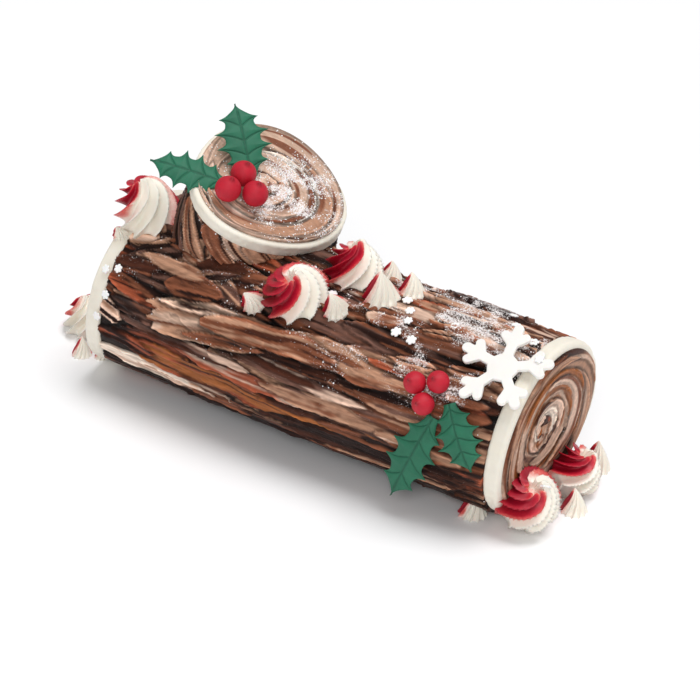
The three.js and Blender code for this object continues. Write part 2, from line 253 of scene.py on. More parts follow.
# %% Sizes and points of the stump
STUMP_CENTRE = np.array([-66.0, 16.3, 142.3])
STUMP_TURN, STUMP_RISE = math.radians(75.9), math.radians(61.4)
STUMP_RADIUS, FACE_DEPTH, CREAM_DEPTH = 48.9, 3.0, 9.2
stump_axis = np.array([math.sin(STUMP_TURN) * math.cos(STUMP_RISE),
                       -math.cos(STUMP_TURN) * math.cos(STUMP_RISE), math.sin(STUMP_RISE)])
stump_across = np.array([math.cos(STUMP_TURN), math.sin(STUMP_TURN), 0.0])
stump_uphill = np.cross(stump_axis, stump_across)


def stump_point(depth, radius, angle):
    """A point below the stump's face; angle 180 degrees looks to the front and 270 to the right."""
    rounded = radius + 1.9 * np.cos(3 * (angle - TURN / 6)) * (radius / STUMP_RADIUS)
    return (STUMP_CENTRE - np.multiply.outer(depth, stump_axis)
            + np.multiply.outer(rounded * np.cos(angle), stump_across)
            + np.multiply.outer(rounded * np.sin(angle), stump_uphill))


print("stump axis", np.round(stump_axis, 3))

# %% [markdown]
# ## Frosting laid on with a knife
# The baker loads a palette knife with two or three half-mixed colours and drags it along. Each
# stroke buries part of the last one, leaves fine grooves along its length, a raised lip at its
# edges and a ragged end where the knife lifts off. So the coat is made the same way: stroke after
# stroke is laid over a grid of heights and colours, and the newest lies on top.

# %% A coat of strokes
SHADES = {name: linear(value) for name, value in {
    "cocoa": "#24130f", "bitter": "#442419", "milk": "#7c4a34", "tan": "#b3876d", "blush": "#dcb9a4",
    "mauve": "#6b4b40", "caramel": "#9c5c31", "rust": "#934a31", "cream": "#efdccb", "sand": "#c6a590",
}.items()}


class Coat:
    """Frosting on a grid: how thick it is in millimetres, its colour, and where its edges stand up."""

    def __init__(self, along, across, base="cocoa", around=None, pitch=0.0, grain=1.0, broad=1.0):
        """around names the way that closes on itself, "along" or "across", and its length once round.
        pitch is how far a stroke that goes once round has moved inwards. grain says how deep the
        grooves are and broad how wide."""
        self.along, self.across = along, across
        self.around, self.pitch, self.grain, self.broad = around, pitch, grain, broad
        self.height = 0.4 * (noise(along / 30, across / 3, 1) - 0.5)
        self.colour = np.ones(along.shape + (3,)) * SHADES[base]
        self.edge = np.zeros(along.shape)
        self.strokes = 0

    def stroke(self, along, across, length, width, shades, lift=1.1, slope=0.0, bow=0.0, ragged=1.0, taper=0.9):
        """One pull of the knife, centred at (along, across). slope tilts it, bow bends it and taper points it."""
        self.strokes += 1
        seed = self.strokes * 17
        a, c = self.along - along, self.across - across
        if self.around and self.around[0] == "across":
            c = c - np.round(c / self.around[1]) * self.around[1]
        elif self.around:
            laps = np.round(a / self.around[1])
            a, c = a - laps * self.around[1], c - laps * self.pitch
        reach = width + abs(slope) * length / 2 + abs(bow)
        near = (np.abs(a) < length / 2 + 8) & (np.abs(c) < reach)
        a, c = a[near], c[near]
        c = c - slope * a - bow * (2 * a / length) ** 2
        c = c + 2.2 * (noise(a / 22, 0, seed) - 0.5)
        half = width / 2 * (0.85 + 0.35 * noise(a / 13, 0.5, seed + 1)) * (1 - taper * np.abs(2 * a / length) ** 3)
        half = np.maximum(half, 0.3)
        tear = ragged * (7 * (noise(c / 3.1, 0, seed + 2) - 0.5) + 3 * (noise(c / 1.1, 0, seed + 3) - 0.5))
        edge = np.minimum(half - np.abs(c) + 0.6 * (noise(a / 2.5, 0, seed + 4) - 0.5),
                          length / 2 - np.abs(a) + tear)
        cover = smooth(edge, 0, 0.9)
        wave = (c + 1.5 * (noise(a / 17, c / 9, seed + 14) - 0.5)) / self.broad
        groove = (1.1 * (noise(wave / 2.4, a / 60, seed + 5) - 0.5)
                  + 0.7 * (noise(wave / 1.2, a / 35, seed + 6) - 0.5)
                  + 0.3 * (noise(wave / 1.5, a / 3.5, seed + 7) - 0.5)) * self.grain
        lip = 1.3 * np.exp(-((edge - 0.9) / 0.9) ** 2) * noise(a / 7, np.sign(c), seed + 8)
        belly = 0.35 * np.cos(np.clip(c / half, -1, 1) * math.pi / 2)
        level = lift * (0.65 + 0.5 * noise(a / 35, 0, seed + 9)) + groove + lip + belly
        old = self.height[near]
        self.height[near] = old + cover * (level + 0.3 * old - old)
        streak = (0.5 * noise(wave / 2.6, a / 55, seed + 10) + 0.3 * noise(wave / 1.1, a / 28, seed + 11)
                  + 0.2 * noise(wave / 4, a / 9, seed + 12) + 0.12 * groove)
        mix = smooth(streak, 0.43, 0.57)[:, None]
        tint = SHADES[shades[0]] * (1 - mix) + SHADES[shades[1]] * mix
        vein = smooth(noise(wave / 1.3, a / 40, seed + 13), 0.68, 0.82)[:, None]
        tint = tint * (1 - vein) + SHADES[shades[2] if len(shades) > 2 else "cocoa"] * vein
        # Painted shade: the new stroke darkens along its own edge, and the old coat just outside it is darkened as
        # if the stroke's lip shaded it.
        edge_shade = np.exp(-(edge / 0.7) ** 2)[:, None]
        tint = tint * (1 - 0.6 * edge_shade)
        self.colour[near] *= 1 - 0.5 * np.exp(-((edge + 0.7) / 0.8) ** 2)[:, None]
        self.colour[near] += smooth(edge, -0.1, 0.5)[:, None] * (tint - self.colour[near])
        self.edge[near] = self.edge[near] * (1 - cover) + cover * np.exp(-((edge - 1) / 1.2) ** 2)

    def paint_shade_and_highlight(self, reach, strength):
        """Paints shade into what lies lower than its surroundings and a highlight onto the ridges."""
        local = self.height
        for axis in (0, 1):
            local = sum(np.roll(local, k, axis) for k in range(-reach, reach + 1)) / (2 * reach + 1)
        local = self.height - local
        self.colour *= np.clip(1 + strength * local, 0.4, 1.45)[..., None]


# %% [markdown]
# ## Bark on the log
# The strokes run along the log. A random undercoat covers it all round, and then the large ones
# that give this cake its face are listed one by one: the thick tan slab with a torn left end, the warm
# caramel sweep low at the front, the pale one below it, and the red-brown and mauve ones to the right.

# %% Undercoat round the log
ARC = 58.0  # millimetres round the log for each radian
log_x = np.linspace(BARK_LEFT, BARK_RIGHT, 306)
log_angle = np.radians(np.concatenate([
    np.linspace(-90, -42, 18, endpoint=False), np.linspace(-42, 70, 82, endpoint=False),
    np.linspace(70, 222, 198, endpoint=False), np.linspace(222, 270, 18, endpoint=False)]))
grid_x, grid_angle = np.meshgrid(log_x, log_angle, indexing="ij")
log_coat = Coat(grid_x, (grid_angle - TURN / 4) * ARC, broad=1.35)
random = np.random.default_rng(5)


def knife(x, degrees, length, width, shades, *how, **more):
    """A stroke on the log, placed by how far along it is and its angle round the log."""
    log_coat.stroke(x, math.radians(degrees - 90) * ARC, length, width, shades, *how, **more)


UNDERCOAT = [("cocoa", "milk"), ("bitter", "tan"), ("mauve", "milk"), ("cocoa", "mauve"), ("milk", "tan"),
             ("bitter", "milk", "blush"), ("bitter", "rust"), ("cocoa", "bitter", "tan")]
for _ in range(150):
    knife(random.uniform(-140, 140), random.uniform(-60, 240), random.uniform(50, 150), random.uniform(9, 24),
          UNDERCOAT[random.integers(len(UNDERCOAT))], lift=random.uniform(0.1, 2.2),
          slope=random.uniform(-0.1, 0.1), bow=random.uniform(-4, 4), ragged=1.7)
print("undercoat strokes:", log_coat.strokes)

# %% Strokes listed one by one
# The underside and the low front get the darkest strokes: dark chocolate frosting, and painted shade where the log
# curves away below.
for low in (232, 222, 213):
    knife(0, low, 300, 14, ("cocoa", "cocoa", "bitter"), lift=0.1)
# Each row gives place, angle, length and width, the shades, and then lift, slope, bow, ragged and taper.
BY_HAND = [
    # The pale sweep and the caramel one low on the left.
    (-60, 208, 170, 9, "cocoa milk", 0.3, 0.02),
    (-98, 205, 92, 13, "blush cream tan", 0.8, 0.05),
    (-20, 212, 110, 9, "mauve milk", 0.4, 0.03),
    (60, 208, 130, 13, "cocoa bitter tan", 0.5),
    (70, 213, 90, 5, "tan milk", 0.5),
    (50, 198, 150, 12, "bitter cocoa tan", 0.6, 0.02),
    (-62, 191, 150, 17, "caramel rust bitter", 1.0, 0.03),
    (-118, 188, 48, 9, "rust cocoa", 1.2, 0.07),
    (30, 189, 90, 10, "bitter caramel", 0.8),
    # The red-brown middle of the front.
    (-20, 180, 130, 11, "milk rust blush", 0.9, 0.05),
    (-75, 174, 110, 9, "mauve bitter blush", 0.9, 0.03),
    (-100, 166, 84, 11, "mauve cocoa milk", 0.8, 0.02),
    (-132, 172, 22, 13, "tan blush", 1.1, 0.3),
    (45, 178, 120, 13, "milk tan mauve", 1.0, -0.02),
    (95, 184, 60, 9, "tan milk blush", 1.1, 0.03),
    (86, 172, 90, 13, "milk mauve tan", 1.0, 0.03),
    (80, 192, 110, 9, "cocoa milk", 0.5, 0.02),
    (60, 202, 160, 9, "cocoa bitter", 0.5, 0.01),
    (0, 167, 120, 10, "mauve bitter blush", 0.7, 0.06),
    (30, 161, 120, 8, "cocoa milk", 0.5, 0.05),
    (75, 162, 100, 13, "milk tan mauve", 0.9, 0.02),
    (110, 153, 50, 14, "rust milk tan", 0.8),
    # Darker strokes between the stump and the slab.
    (-95, 152, 90, 8, "cocoa milk", 0.5, 0.08),
    (-100, 143, 80, 9, "cocoa mauve tan", 0.6, 0.09),
    (-112, 134, 46, 12, "tan milk sand", 1.4, -0.3),
    (-70, 133, 76, 10, "bitter tan cocoa", 0.9, 0.16),
    (-52, 139, 70, 8, "milk bitter", 0.9, 0.05),
    (-104, 125, 52, 20, "mauve cocoa tan", 1.1, -0.42),
    (-82, 124, 30, 15, "tan milk blush", 1.5, 0.25),
    (-128, 120, 24, 18, "tan blush", 0.9, -0.3),
    (-48, 121, 44, 13, "milk tan cocoa", 1.5, 0.1),
    # The slab with its torn end, and the band that carries on from it to the right.
    (20, 158, 150, 9, "cocoa bitter", 0.2, 0.01),
    (-58, 157, 84, 24, "sand tan milk", 2.6, -0.12, 0, 1.9, 0.25),
    (-70, 151, 54, 4, "blush sand", 2.9, -0.12, 0, 1.2),
    (34, 148, 130, 18, "milk tan mauve", 1.7),
    (-14, 150, 96, 15, "tan milk bitter", 2.6, -0.05, 2, 1, 0.6),
    (-44, 163, 60, 6, "milk cocoa", 2.4, -0.12),
    # The mauve and orange-tan top right.
    (85, 138, 100, 13, "mauve milk tan", 0.9, -0.02),
    (66, 128, 84, 13, "mauve cocoa milk", 0.8, 0.04),
    (78, 142, 60, 6, "tan rust", 1.5, 0.05, 0, 1.5),
    (95, 118, 90, 12, "milk mauve", 0.8),
    (85, 105, 110, 12, "milk blush cocoa", 0.9, 0.03),
    (92, 93, 100, 10, "rust tan cocoa", 1.2, -0.02),
    (80, 82, 110, 11, "bitter tan cocoa", 1.1, 0.02),
]
for x, degrees, length, width, shades, *how in BY_HAND:
    knife(x, degrees, length, width, shades.split(), *how)
# Torn lumps where the knife was lifted, on the upper right and by the upper left end.
for _ in range(14):
    knife(random.uniform(45, 128), random.uniform(84, 146), random.uniform(20, 44), random.uniform(5, 9),
          [("tan", "milk"), ("rust", "tan"), ("mauve", "cocoa"), ("milk", "sand")][random.integers(4)],
          lift=random.uniform(1.8, 3.0), slope=random.uniform(-0.12, 0.12), ragged=2)
for _ in range(9):
    knife(random.uniform(-130, -45), random.uniform(112, 146), random.uniform(34, 66), random.uniform(8, 15),
          [("tan", "milk", "cocoa"), ("mauve", "cocoa", "tan"), ("milk", "bitter")][random.integers(3)],
          lift=random.uniform(0.9, 1.9), slope=random.uniform(-0.35, 0.2), bow=random.uniform(-4, 4), ragged=1.4)
# Painted shade in the coat's low places and painted highlight on its ridges, at two sizes.
log_coat.paint_shade_and_highlight(3, 0.45)
log_coat.paint_shade_and_highlight(9, 0.3)
print("strokes on the log:", log_coat.strokes)

# %% Materials for frosting
def frosting(name, roughness, grain, gloss, soft=0.0):
    """Buttercream that takes its colour from the strokes. grain is the length in mm of its fine drag
    marks, and gloss how much of a smooth surface's reflection its sugary one keeps (0.5 is all)."""
    material, tree, shader = new_material(name)
    place = object_place(tree)
    stretched = add(tree, "ShaderNodeMapping", {"Vector": place, "Scale": (0.12, 1, 1)})
    colour = add(tree, "ShaderNodeAttribute", attribute_name="Shade")
    sugar = add(tree, "ShaderNodeAttribute", attribute_name="Sugar")
    drag = speckle(tree, stretched.outputs["Vector"], grain, 5.0, 0.65)
    tone = add(tree, "ShaderNodeMapRange", {"Value": drag, "From Min": 0.3, "From Max": 0.7,
                                            "To Min": 0.76, "To Max": 1.25})
    dragged = add(tree, "ShaderNodeVectorMath", {0: colour.outputs["Color"], "Scale": tone.outputs["Result"]},
                  operation="SCALE")
    level = add(tree, "ShaderNodeMath", {0: sugar.outputs["Fac"], 1: 0.42}, operation="MULTIPLY")
    lifted = add(tree, "ShaderNodeMath", {0: speckle(tree, place, 1.1, 4.0, 0.75), 1: level.outputs["Value"]},
                 operation="ADD")
    dusted = add(tree, "ShaderNodeMapRange", {"Value": lifted.outputs["Value"], "From Min": 0.66,
                                              "From Max": 0.8, "To Min": 0.0, "To Max": 0.9})
    rough = add(tree, "ShaderNodeMapRange", {"Value": drag, "To Min": roughness - 0.12,
                                             "To Max": roughness + 0.12})
    feed(tree, shader, {
        "Base Color": blend(tree, dusted.outputs["Result"], dragged.outputs["Vector"], rgba("#f3ecea")),
        "Normal": bumped(tree, drag, 0.7, 0.4), "Roughness": rough.outputs["Result"], "IOR": 1.46,
        "Specular IOR Level": gloss, "Subsurface Weight": soft, "Subsurface Radius": (1.0, 0.5, 0.3),
        "Subsurface Scale": 1.5 * MM})
    return material


bark_frosting = frosting("chocolate_buttercream_knife_dragged", 0.36, 1.6, 0.12)
swirl_frosting = frosting("marbled_buttercream_smoothed", 0.45, 2.4, 0.15, soft=0.05)

# %% The log's bark
# Sugar settles where a surface looks up, mostly to the right, and catches on the raised edges.
log_up = log_normal(grid_x, grid_angle)[..., 2]
patches = noise(grid_x / 16, grid_angle * 4, 91) * 0.6 + noise(grid_x / 5, grid_angle * 12, 92) * 0.4
log_sugar = np.clip((0.1 + 0.6 * smooth(grid_x, -10, 70)) * smooth(log_up, 0.1, 0.8)
                    + 0.35 * log_coat.edge * smooth(log_up, -0.2, 0.4), 0, 1) * smooth(patches, 0.3, 0.75) * 0.7
BARK_RELIEF, BARK_SINK = 1.2, 0.8  # how much the relief is stretched, and how far in its mean lies
bark_lift = (log_coat.height - log_coat.height.mean()) * BARK_RELIEF - BARK_SINK
log_bark = skin("log_bark", log_point(grid_x, grid_angle, bark_lift), bark_frosting)
paint(log_bark, "Shade", log_coat.colour)
paint(log_bark, "Sugar", log_sugar)
stands_for(log_bark, "bark_frosting", "log")
print("bark relief in mm:", round(float(np.ptp(log_coat.height) * BARK_RELIEF), 1))

# %% The stump's bark
# It is wound round the slice below the cream and spreads out into the log, with upright strokes.
STUMP_FOOT, FOOT_LENGTH, FOOT_WIDTH, WAIST = np.array([-80.0, 8.0, 86.0]), 56.0, 45.0, 5.0
STUMP_ARC = 47.0  # millimetres round the stump for each radian
SIDE, GIRTH = 70.0, TURN * STUMP_ARC
down, side_angle = round_grid(np.linspace(1, 0, 100), 300)
side_coat = Coat(down * SIDE, side_angle * STUMP_ARC, around=("across", GIRTH), broad=1.4)
for _ in range(90):
    side_coat.stroke(random.uniform(-5, 70), random.uniform(0, GIRTH), random.uniform(18, 44),
                     random.uniform(11, 23), UNDERCOAT[random.integers(len(UNDERCOAT))],
                     lift=random.uniform(0.2, 1.4), slope=random.uniform(-0.5, 0.5), bow=random.uniform(-7, 7))
for degrees, depth, shades in ((150, 30, ("mauve", "cocoa")), (168, 22, ("tan", "milk", "cocoa")),
                               (196, 20, ("milk", "tan", "bitter")), (214, 14, ("tan", "blush", "bitter")),
                               (232, 16, ("milk", "tan", "cocoa")), (250, 12, ("mauve", "tan", "cocoa"))):
    side_coat.stroke(depth, math.radians(degrees) * STUMP_ARC, 44, 18, shades, lift=1.4, slope=0.5, bow=7,
                     ragged=1.5)
# Painted shade in the coat's low places and painted highlight on its ridges, at two sizes.
side_coat.paint_shade_and_highlight(3, 0.45)
side_coat.paint_shade_and_highlight(9, 0.3)
top_depth = FACE_DEPTH + CREAM_DEPTH - 1.2 + 1.5 * (noise(side_angle * 5, 0, 3) - 0.5)
rim = stump_point(top_depth, STUMP_RADIUS - 0.8, side_angle)
foot = STUMP_FOOT + np.multiply.outer(FOOT_WIDTH * np.cos(side_angle), stump_across) \
    - np.multiply.outer(FOOT_LENGTH * np.sin(side_angle), np.array([1.0, 0, 0]))
side = rim + down[..., None] * (foot - rim)
outward = side - STUMP_FOOT
outward[..., 2] = 0
outward /= np.linalg.norm(outward, axis=-1, keepdims=True)
side_lift = side_coat.height - side_coat.height.mean() - 0.4 - WAIST * down ** 2 * (1 - down)
side = side + outward * side_lift[..., None]
stump_bark = skin("stump_bark_frosting", side, bark_frosting)
paint(stump_bark, "Shade", side_coat.colour)
paint(stump_bark, "Sugar", 0.25 * side_coat.edge)
stands_for(stump_bark, "bark_frosting", "stump_bark")

# %% [markdown]
# ## Vanilla cream at the rims
# Below each cut face runs a band of plain vanilla buttercream, smoothed with the knife held flat.
# It is nearly white and a little uneven, with soft edges, and light enters it a short way.

# %% Cream
def cream_material(name):
    material, tree, shader = new_material(name)
    place = object_place(tree)
    feed(tree, shader, {
        "Base Color": blend(tree, speckle(tree, place, 14, 2.0), rgba("#f4efe3"), rgba("#e9e1d0")),
        "Normal": bumped(tree, speckle(tree, place, 2.5, 3.0), 0.35, 0.4), "Roughness": 0.5, "IOR": 1.46,
        "Subsurface Weight": 0.15, "Subsurface Radius": (1.0, 0.8, 0.6), "Subsurface Scale": 2 * MM})
    return material


vanilla = cream_material("vanilla_buttercream_smoothed")


def rounded_band(steps, width, radius):
    """How far in from the rim a band lies across its width, with both edges rounded off."""
    across = np.linspace(0, width, steps)
    near = np.clip((radius - np.minimum(across, width - across)) / radius, 0, 1)
    return across, radius * (1 - np.sqrt(1 - near ** 2))


for side_sign, name in ((-1, "cream_band_left"), (1, "cream_band_right")):
    start = BARK_LEFT if side_sign < 0 else BARK_RIGHT
    across, inset = rounded_band(20, BAND[side_sign], 2.6)
    along, angle = round_grid(across, 320)
    uneven = 1.6 * (noise(angle * 2, along / 9, 31) - 0.5) + 0.7 * (noise(angle * 16, along / 2.5, 32) - 0.5)
    rows = log_point(start + side_sign * along, angle, uneven - 0.7 - inset[:, None])
    band = skin(name + "_cream", rows, vanilla)
    stands_for(band, "vanilla_cream", name)

across, inset = rounded_band(22, CREAM_DEPTH + 0.6, 2.2)
depth, angle = round_grid(FACE_DEPTH + across - 0.6, 360)
uneven = 2.0 * (noise(angle * 2, depth / 7, 41) - 0.5) + 0.5 * (noise(angle * 24, depth / 2.5, 42) - 0.5)
rows = stump_point(depth, STUMP_RADIUS + 0.6 + uneven - inset[:, None], angle)
stump_cream = skin("stump_cream_band", rows, vanilla)
stands_for(stump_cream, "vanilla_cream", "stump_cream")

# %% [markdown]
# ## The cut faces
# Each face shows the roll as rings of strokes that wind in to an eye. The same coat is laid on a
# disc: along a stroke is round the face, and across it is in towards the eye, so a stroke that
# goes once round comes out one pitch further in.

# %% Faces with a spiral of strokes
FACE_ARC = 30.0  # millimetres along a stroke for each radian round a face
FACE_RELIEF = 0.8


def spiral_coat(radius, pitch, seed, shades, step, widths, base):
    """A disc's grid of fractions and angles, and a coat of strokes wound round it. step is how far
    apart the rings of strokes lie."""
    lanes = np.concatenate([np.linspace(1, 0.9, 12, endpoint=False), np.linspace(0.9, 0.02, 86)])
    fraction, angle = round_grid(lanes, 400)
    coat = Coat(angle * FACE_ARC, fraction * radius + pitch * angle / TURN, base=base,
                around=("along", TURN * FACE_ARC), pitch=pitch, grain=0.6, broad=2.4)
    pick = np.random.default_rng(seed)
    for lane in np.arange(radius + pitch, 0, -step):
        for _ in range(2):
            coat.stroke(pick.uniform(0, TURN * FACE_ARC), lane + pick.uniform(-1.5, 1.5), pick.uniform(95, 180),
                        pick.uniform(*widths), shades[pick.integers(len(shades))], lift=pick.uniform(0.2, 1.3),
                        slope=pick.uniform(-0.02, 0.02), bow=pick.uniform(-1.5, 1.5), ragged=0.7)
    return fraction, angle, coat


def face_rows(fraction, centre, rim, normal, back, level, height):
    """The rows of a face: its back rim first, then its front from the rounded edge in to the eye."""
    edge = np.sqrt(1 - np.clip((fraction - 0.93) / 0.07, 0, 1) ** 2)
    rows = centre + fraction[..., None] * (rim - centre)
    rows = rows + (edge * (level + height))[..., None] * normal
    return np.concatenate([(rim[:1] - back * normal), rows])


def build_face(name, node, rows, coat, sugar):
    # Painted shade in the face's low places and painted highlight on its ridges.
    coat.paint_shade_and_highlight(3, 0.75)
    face = skin(name, rows, swirl_frosting)
    paint(face, "Shade", np.concatenate([coat.colour[:1], coat.colour]))
    paint(face, "Sugar", np.concatenate([sugar[:1], sugar]))
    stands_for(face, "swirled_frosting", node)
    return face


ROLL = [("tan", "sand", "milk"), ("milk", "tan", "cocoa"), ("tan", "blush", "milk"), ("mauve", "tan", "cocoa"),
        ("caramel", "sand", "bitter"), ("sand", "caramel", "bitter"), ("bitter", "milk", "blush")]
for side_sign, node, eye in ((1, "swirl_face_right", (-9.0, 59.0)), (-1, "swirl_face_left", (4.0, 55.0))):
    fraction, angle, coat = spiral_coat(50, 7, 60 + side_sign, ROLL, 6.5, (9, 15), "tan")
    coat.stroke(60, 17, 150, 9, ("tan", "blush", "bitter"), lift=1.3)
    coat.stroke(50, 11, 170, 7, ("blush", "cream", "tan"), lift=0.9)
    coat.stroke(30, 5.5, 60, 8, ("rust", "bitter"), lift=0.9, taper=0.5)
    coat.stroke(125, 6.5, 60, 8, ("rust", "caramel"), lift=0.9, taper=0.5)
    coat.stroke(76, 8.5, 62, 7, ("cream", "blush"), lift=1.4, taper=0.6)
    start = (BARK_LEFT if side_sign < 0 else BARK_RIGHT) + side_sign * BAND[side_sign]
    rim = log_point(start, angle, -4.8)
    middle = np.array([rim[0, :, 0].mean(), *eye])
    rows = face_rows(fraction, middle, rim, np.array([side_sign, 0, 0]), -0.3, 1.0, coat.height * FACE_RELIEF)
    build_face(node.replace("swirl_face", "roll_end"), node, rows, coat, 0.12 * coat.edge)

# %% The stump's face
fraction, angle, coat = spiral_coat(50, 9, 77, [
    ("blush", "sand", "milk"), ("sand", "blush", "bitter"), ("blush", "cream", "tan"), ("sand", "blush", "bitter"),
    ("cream", "blush", "caramel")], 8, (13, 22), "sand")
coat.stroke(math.radians(250) * FACE_ARC, 26, 70, 3.0, ("bitter", "cocoa"), lift=0.4)
coat.stroke(math.radians(272) * FACE_ARC, 22, 84, 8, ("sand", "caramel", "bitter"), lift=2.2, ragged=1.6)
coat.stroke(math.radians(300) * FACE_ARC, 40, 80, 4.0, ("bitter", "milk"), lift=0.4)
coat.stroke(math.radians(262) * FACE_ARC, 47, 110, 9, ("blush", "tan", "milk"), lift=1.0)
rim = stump_point(0.0, STUMP_RADIUS - 2.4, angle)
middle = stump_point(0.0, 8.0, np.array(math.radians(160)))
right_of = (rim - STUMP_CENTRE) @ stump_across * fraction
uphill_of = (rim - STUMP_CENTRE) @ stump_uphill * fraction
dense = np.exp(-(((right_of - 12) / 36) ** 2 + ((uphill_of + 14) / 30) ** 2))
drift = noise(right_of / 9, uphill_of / 9, 5) * 0.6 + noise(right_of / 3, uphill_of / 3, 6) * 0.4
face_sugar = np.clip((0.14 + 0.6 * dense) * smooth(drift, 0.15, 0.75), 0, 1)
rows = face_rows(fraction, middle, rim, stump_axis, 2.6, -1.9, coat.height * FACE_RELIEF)
stump_face = build_face("stump_top", "stump_face", rows, coat, face_sugar)

# %% [markdown]
# ## Piped stars
# A piping bag filled with red cream on one side and white on the other is squeezed through a star
# nozzle and turned as it rises. Each tooth of the nozzle leaves a sharp rib, the ribs wind up to a
# peak, and the colours wind with them. All the piped pieces share this rule, so one function makes
# them from a radius, a height, the number of ribs and how far they wind. A function serves better
# here than Geometry Nodes, because the colour has to follow the same winding sum as the shape.

# %% Two-coloured piping
def piping_material(name):
    material, tree, shader = new_material(name)
    red = add(tree, "ShaderNodeAttribute", attribute_name="Red")
    fine = speckle(tree, object_place(tree), 1.3, 3.0)
    wobble = add(tree, "ShaderNodeMapRange", {"Value": fine, "To Min": -0.12, "To Max": 0.12})
    share = add(tree, "ShaderNodeMath", {0: red.outputs["Fac"], 1: wobble.outputs["Result"]}, operation="ADD")
    ramp = add(tree, "ShaderNodeValToRGB", {"Fac": share.outputs["Value"]})
    stops = [(0.08, "#f6f0e4"), (0.3, "#f6d8cd"), (0.5, "#e2645c"), (0.68, "#c81d33"), (0.95, "#a30d28")]
    while len(ramp.color_ramp.elements) < len(stops):
        ramp.color_ramp.elements.new(0.5)
    for element, (position, colour) in zip(ramp.color_ramp.elements, stops):
        element.position, element.color = position, rgba(colour)
    feed(tree, shader, {
        "Base Color": ramp.outputs["Color"], "Normal": bumped(tree, fine, 0.3, 0.2), "Roughness": 0.42,
        "IOR": 1.46, "Subsurface Weight": 0.12, "Subsurface Radius": (1.0, 0.5, 0.4),
        "Subsurface Scale": 1.5 * MM})
    return material


two_tone = piping_material("buttercream_piped_red_and_white")


def unit(vector):
    return np.asarray(vector, float) / np.linalg.norm(vector)


WHITE_TO, KEEN, DULL = -38, 0.8, 1.4


def piped(name, seat, normal, radius, height, ribs, wind, depth, levels, power, skirt, white_share, hollow,
          white_to=WHITE_TO, sharp=KEEN):
    """A piped star: ribs wind up from its seat to its peak, and its foot is white towards white_to,
    in degrees from +X. hollow is how far the middle sinks behind the last curl, as a share of the
    height, and a small sharp makes the ribs keen."""
    white_way = np.array([math.cos(math.radians(white_to)), math.sin(math.radians(white_to)), 0])
    east = unit(white_way - np.dot(white_way, normal) * normal)
    north = np.cross(normal, east)
    seed = int(abs(seat[0]) * 7 + abs(seat[1]) * 3)
    rise, angle = round_grid(np.linspace(0, 0.995, levels), ribs * 18)
    turn = wind * rise ** 1.15
    phase = ribs * (angle - turn)
    phase = phase + 0.45 * np.sin(phase)
    crest = 1 - np.abs(np.sin(phase / 2)) ** sharp
    outline = (1 - rise ** power[0]) ** power[1] * (0.93 + 0.07 * smooth(rise, 0, 0.1))
    depth = depth * (0.5 + 0.5 * smooth(rise, 0, 0.22))
    wave = 1 + 0.06 * (noise(angle * 1.3, rise * 3, seed) - 0.5)
    reach = radius * outline * wave * (1 - depth * (1 - crest) * (1 - 0.2 * rise))
    hook = 0.1 * radius * rise ** 5
    x = reach * np.cos(angle) + hook * math.cos(seed)
    y = reach * np.sin(angle) + hook * math.sin(seed)
    climb = np.minimum(rise / (1 - 0.45 * hollow), 1)
    curl = smooth(rise, 0.6, 0.9) * (1 - smooth(rise, 0.93, 1)) * np.cos(angle - turn + 1.2)
    z = height * (climb - hollow * smooth(rise, 0.84, 1) + 0.5 * hollow * (curl - 1) * smooth(rise, 0.5, 0.9))
    z = z - 0.06 * height * (1 - crest) * (1 - rise)
    if skirt:
        x = np.vstack([x[:1] * 0.8, x])
        y = np.vstack([y[:1] * 0.8, y])
        z = np.vstack([z[:1] * 0 - skirt, z])
    rows = seat + x[..., None] * east + y[..., None] * north + z[..., None] * normal
    rows[..., 2] = np.maximum(rows[..., 2], 0)
    facing = np.cos(angle - turn) + 0.16 * (noise(phase / 3, rise * 4, seed) - 0.5)
    red = smooth(-facing + (0.5 - white_share) * 2.2, -0.34, 0.3) * (1 - 0.25 * crest ** 2)
    red = red * (1 - 0.7 * smooth(rise, 0.7, 0.98))
    star = skin(name + "_piped", rows, two_tone)
    paint(star, "Red", np.vstack([red[:1], red]) if skirt else red)
    stands_for(star, "piped_buttercream", name)
    return star


def on_log(x, degrees, radius, height):
    angle = np.array(math.radians(degrees))
    return log_point(x, angle, -1.0), log_normal(x, angle), radius, height, 6


def on_floor(x, y, radius, height):
    return np.array([x, y, 0.0]), np.array([0, 0, 1.0]), radius, height, 0


def leaning(x, y, z, normal, radius, height):
    return np.array([x, y, z], float), unit(normal), radius, height, 12


# %% Rosettes and kisses
ROSETTES = {
    "rosette_middle_left": on_log(-10, 121.5, 22.5, 22),
    "rosette_middle_right": on_log(9.5, 92, 20.5, 25),
    "rosette_left_top": on_log(-136, 109, 22, 33),
    "rosette_right_front": leaning(149.5, -25, 20, (0.5, -0.35, 0.79), 22, 20),
    "rosette_right_back": leaning(152, 25.5, 13.5, (0.45, 0.12, 0.88), 19, 19.5),
    "rosette_left_base": leaning(-203, 3, 5, (-0.3, -0.1, 0.95), 23, 23),
}
KISSES = {
    "kiss_middle_1": on_log(-33, 135, 8.5, 14), "kiss_middle_2": on_log(18, 120.5, 9.5, 15),
    "kiss_middle_3": on_log(37, 102.5, 12.5, 20), "kiss_middle_4": on_log(48, 88, 9.5, 14),
    "kiss_middle_5": on_log(26, 78, 8, 11), "kiss_left_top": on_log(-144, 127, 6, 9),
    "kiss_right_front": on_floor(118.5, -31, 9.5, 16), "kiss_right_middle": on_floor(164, 8, 9, 16),
    "kiss_right_back": on_floor(152, 56, 10.5, 21), "kiss_left_front": on_floor(-186, -29.5, 7.5, 14),
    "kiss_left_inner": on_floor(-173.5, -24, 5.5, 11),
}
LEFT_ENDS = {"rosette_left_top": -80, "rosette_left_base": -125}  # these two are softer and turned further
